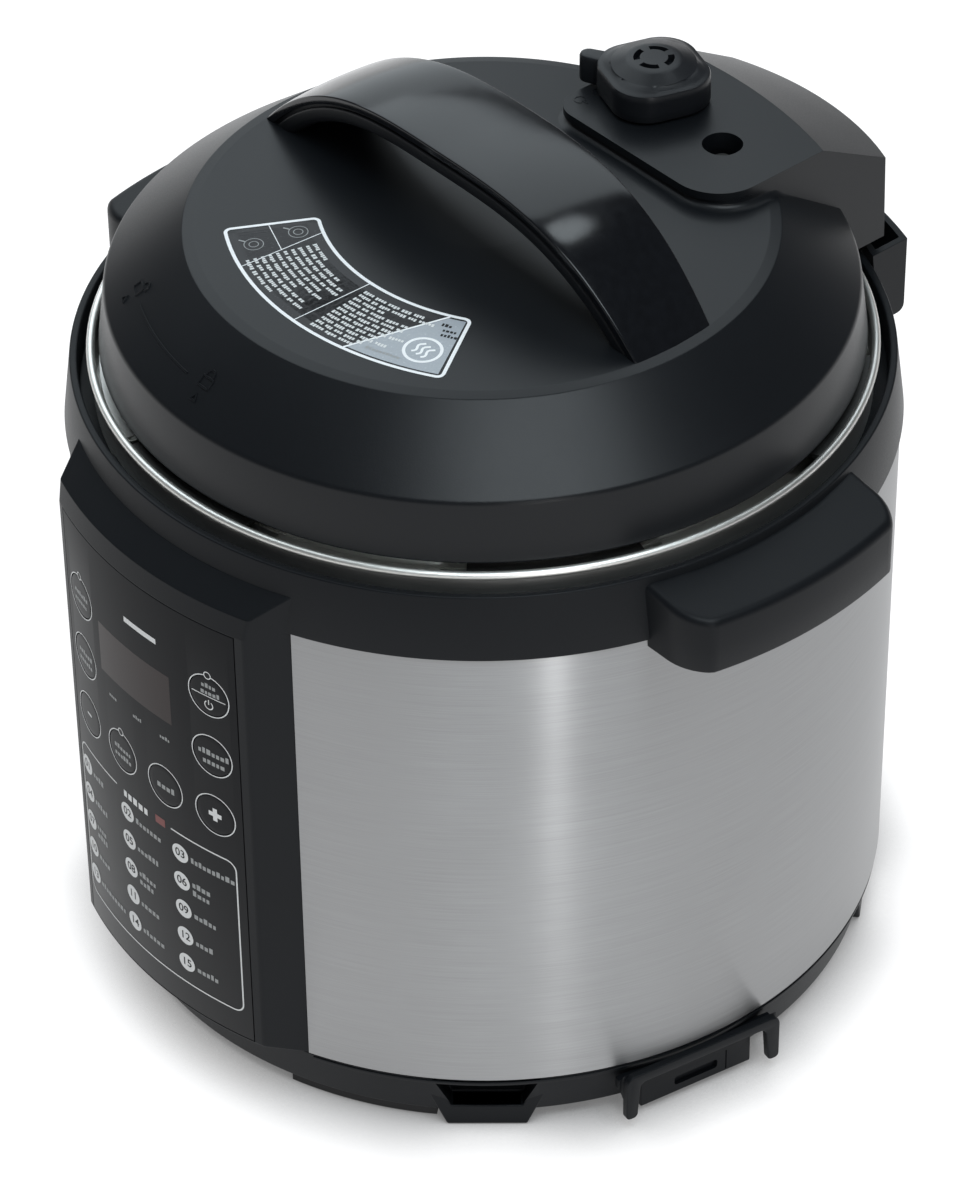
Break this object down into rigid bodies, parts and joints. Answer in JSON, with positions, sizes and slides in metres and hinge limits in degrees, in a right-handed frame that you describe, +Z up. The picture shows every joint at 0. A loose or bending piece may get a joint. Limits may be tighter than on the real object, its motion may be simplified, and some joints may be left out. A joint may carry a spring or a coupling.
{
  "type": "electric pressure cooker",
  "caption": "Electric pressure cooker: steel-jacketed body with control panel, side handles, bayonet lid with arched handle, steam valve, inner pot and dew tray.",
  "frame": {"origin": "on the vessel's axis, at the surface the cooker stands on", "axes": "+Z up; the control panel faces -Y, the side handles lie along X and the steam valve and dew tray are at +Y"},
  "size_m": [0.333, 0.3156, 0.329],
  "materials": {
    "body_plastic": "fine-grained satin moulding",
    "gloss_black": "polished",
    "knob_plastic": "satin",
    "jacket_steel": "brushed around the body",
    "pot_steel": "polished and spun",
    "screw_steel": "zinc plated",
    "sheet_aluminium": "mill",
    "cast_aluminium": "cast and faced",
    "foot_rubber": "matt",
    "silicone": "translucent satin",
    "panel_film": "satin printed film",
    "display_glass": "dark red window",
    "white_plastic": "satin",
    "circuit_board": "solder mask",
    "label_print": "printed label"
  },
  "bodies": {
    "root": {"base_shell": "body_plastic", "bottom_cover": "body_plastic", "foot_pads": "foot_rubber", "base_screws": "screw_steel", "steel_jacket": "jacket_steel", "collar": "body_plastic", "side_handle_right": "body_plastic", "side_handle_left": "body_plastic", "handle_screws": "screw_steel", "ladle_holder": "body_plastic", "mains_inlet": "body_plastic", "heat_shield": "sheet_aluminium", "outer_pot": "pot_steel", "heating_plate": "cast_aluminium", "sensor_spring": "screw_steel", "sensor_bracket": "screw_steel", "thermal_fuse": "white_plastic", "pressure_switch": "gloss_black", "power_board": "circuit_board", "panel_frame": "body_plastic", "panel_overlay": "panel_film", "display_module": "display_glass", "key_membrane": "silicone", "control_board": "circuit_board"},
    "pot": {"inner_pot": "pot_steel"},
    "seal": {"sealing_ring": "silicone", "seal_rack": "pot_steel"},
    "lid": {"lid_cover": "body_plastic", "lid_plate": "pot_steel", "lid_screws": "screw_steel", "lid_handle_base": "body_plastic", "lid_handle_top": "gloss_black", "lid_label": "label_print", "exhaust_stem": "pot_steel", "block_shield": "pot_steel"},
    "knob": {"exhaust_knob": "knob_plastic", "knob_insert": "screw_steel"},
    "float": {"float_pin": "cast_aluminium", "float_seal": "silicone"},
    "slider": {"lock_slider": "white_plastic"},
    "sensor": {"temperature_sensor": "cast_aluminium"},
    "dew_tray": {"dew_collector": "gloss_black"},
    "cap_1": {"key_1": "panel_film"},
    "cap_2": {"key_2": "panel_film"},
    "cap_3": {"key_3": "panel_film"},
    "cap_4": {"key_4": "panel_film"},
    "cap_5": {"key_5": "panel_film"},
    "cap_6": {"key_6": "panel_film"},
    "cap_7": {"key_7": "panel_film"},
    "cap_8": {"key_8": "panel_film"}
  },
  "joints": [
    {"name": "pot_lift", "type": "slide", "parent": "root", "child": "pot", "axis": [0, 0, 1], "range_m": [0, 0.17]},
    {"name": "lid_lift", "type": "slide", "parent": "pot", "child": "seal", "axis": [0, 0, 1], "range_m": [0, 0.12]},
    {"name": "lid_turn", "type": "hinge", "parent": "seal", "child": "lid", "pos_m": [0, 0, 0.25], "axis": [0, 0, 1], "range_deg": [0, 30]},
    {"name": "knob_turn", "type": "hinge", "parent": "lid", "child": "knob", "pos_m": [-0.01, 0.0874, 0.3], "axis": [0, 0, 1], "range_deg": [0, 35]},
    {"name": "float_rise", "type": "slide", "parent": "lid", "child": "float", "axis": [0, 0, 1], "range_m": [0, 0.0045]},
    {"name": "slider_move", "type": "slide", "parent": "lid", "child": "slider", "axis": [0, 1, 0], "range_m": [0, 0.004], "stiffness_N_per_m": 150},
    {"name": "sensor_press", "type": "slide", "parent": "root", "child": "sensor", "axis": [0, 0, -1], "range_m": [0, 0.002], "stiffness_N_per_m": 500, "springref_m": -0.002, "deforming": ["sensor_spring"]},
    {"name": "dew_tray_pull", "type": "slide", "parent": "root", "child": "dew_tray", "axis": [0, 1, 0], "range_m": [0, 0.05]},
    {"name": "key_1_press", "type": "slide", "parent": "root", "child": "cap_1", "axis": [0.2262, 0.9741, 0], "range_m": [0, 0.0005], "stiffness_N_per_m": 1200},
    {"name": "key_2_press", "type": "slide", "parent": "root", "child": "cap_2", "axis": [0.2262, 0.9741, 0], "range_m": [0, 0.0005], "stiffness_N_per_m": 1200},
    {"name": "key_3_press", "type": "slide", "parent": "root", "child": "cap_3", "axis": [0.2262, 0.9741, 0], "range_m": [0, 0.0005], "stiffness_N_per_m": 1200},
    {"name": "key_4_press", "type": "slide", "parent": "root", "child": "cap_4", "axis": [0.077, 0.997, 0], "range_m": [0, 0.0005], "stiffness_N_per_m": 1200},
    {"name": "key_5_press", "type": "slide", "parent": "root", "child": "cap_5", "axis": [-0.077, 0.997, 0], "range_m": [0, 0.0005], "stiffness_N_per_m": 1200},
    {"name": "key_6_press", "type": "slide", "parent": "root", "child": "cap_6", "axis": [-0.2262, 0.9741, 0], "range_m": [0, 0.0005], "stiffness_N_per_m": 1200},
    {"name": "key_7_press", "type": "slide", "parent": "root", "child": "cap_7", "axis": [-0.2262, 0.9741, 0], "range_m": [0, 0.0005], "stiffness_N_per_m": 1200},
    {"name": "key_8_press", "type": "slide", "parent": "root", "child": "cap_8", "axis": [-0.2262, 0.9741, 0], "range_m": [0, 0.0005], "stiffness_N_per_m": 1200}
  ]
}
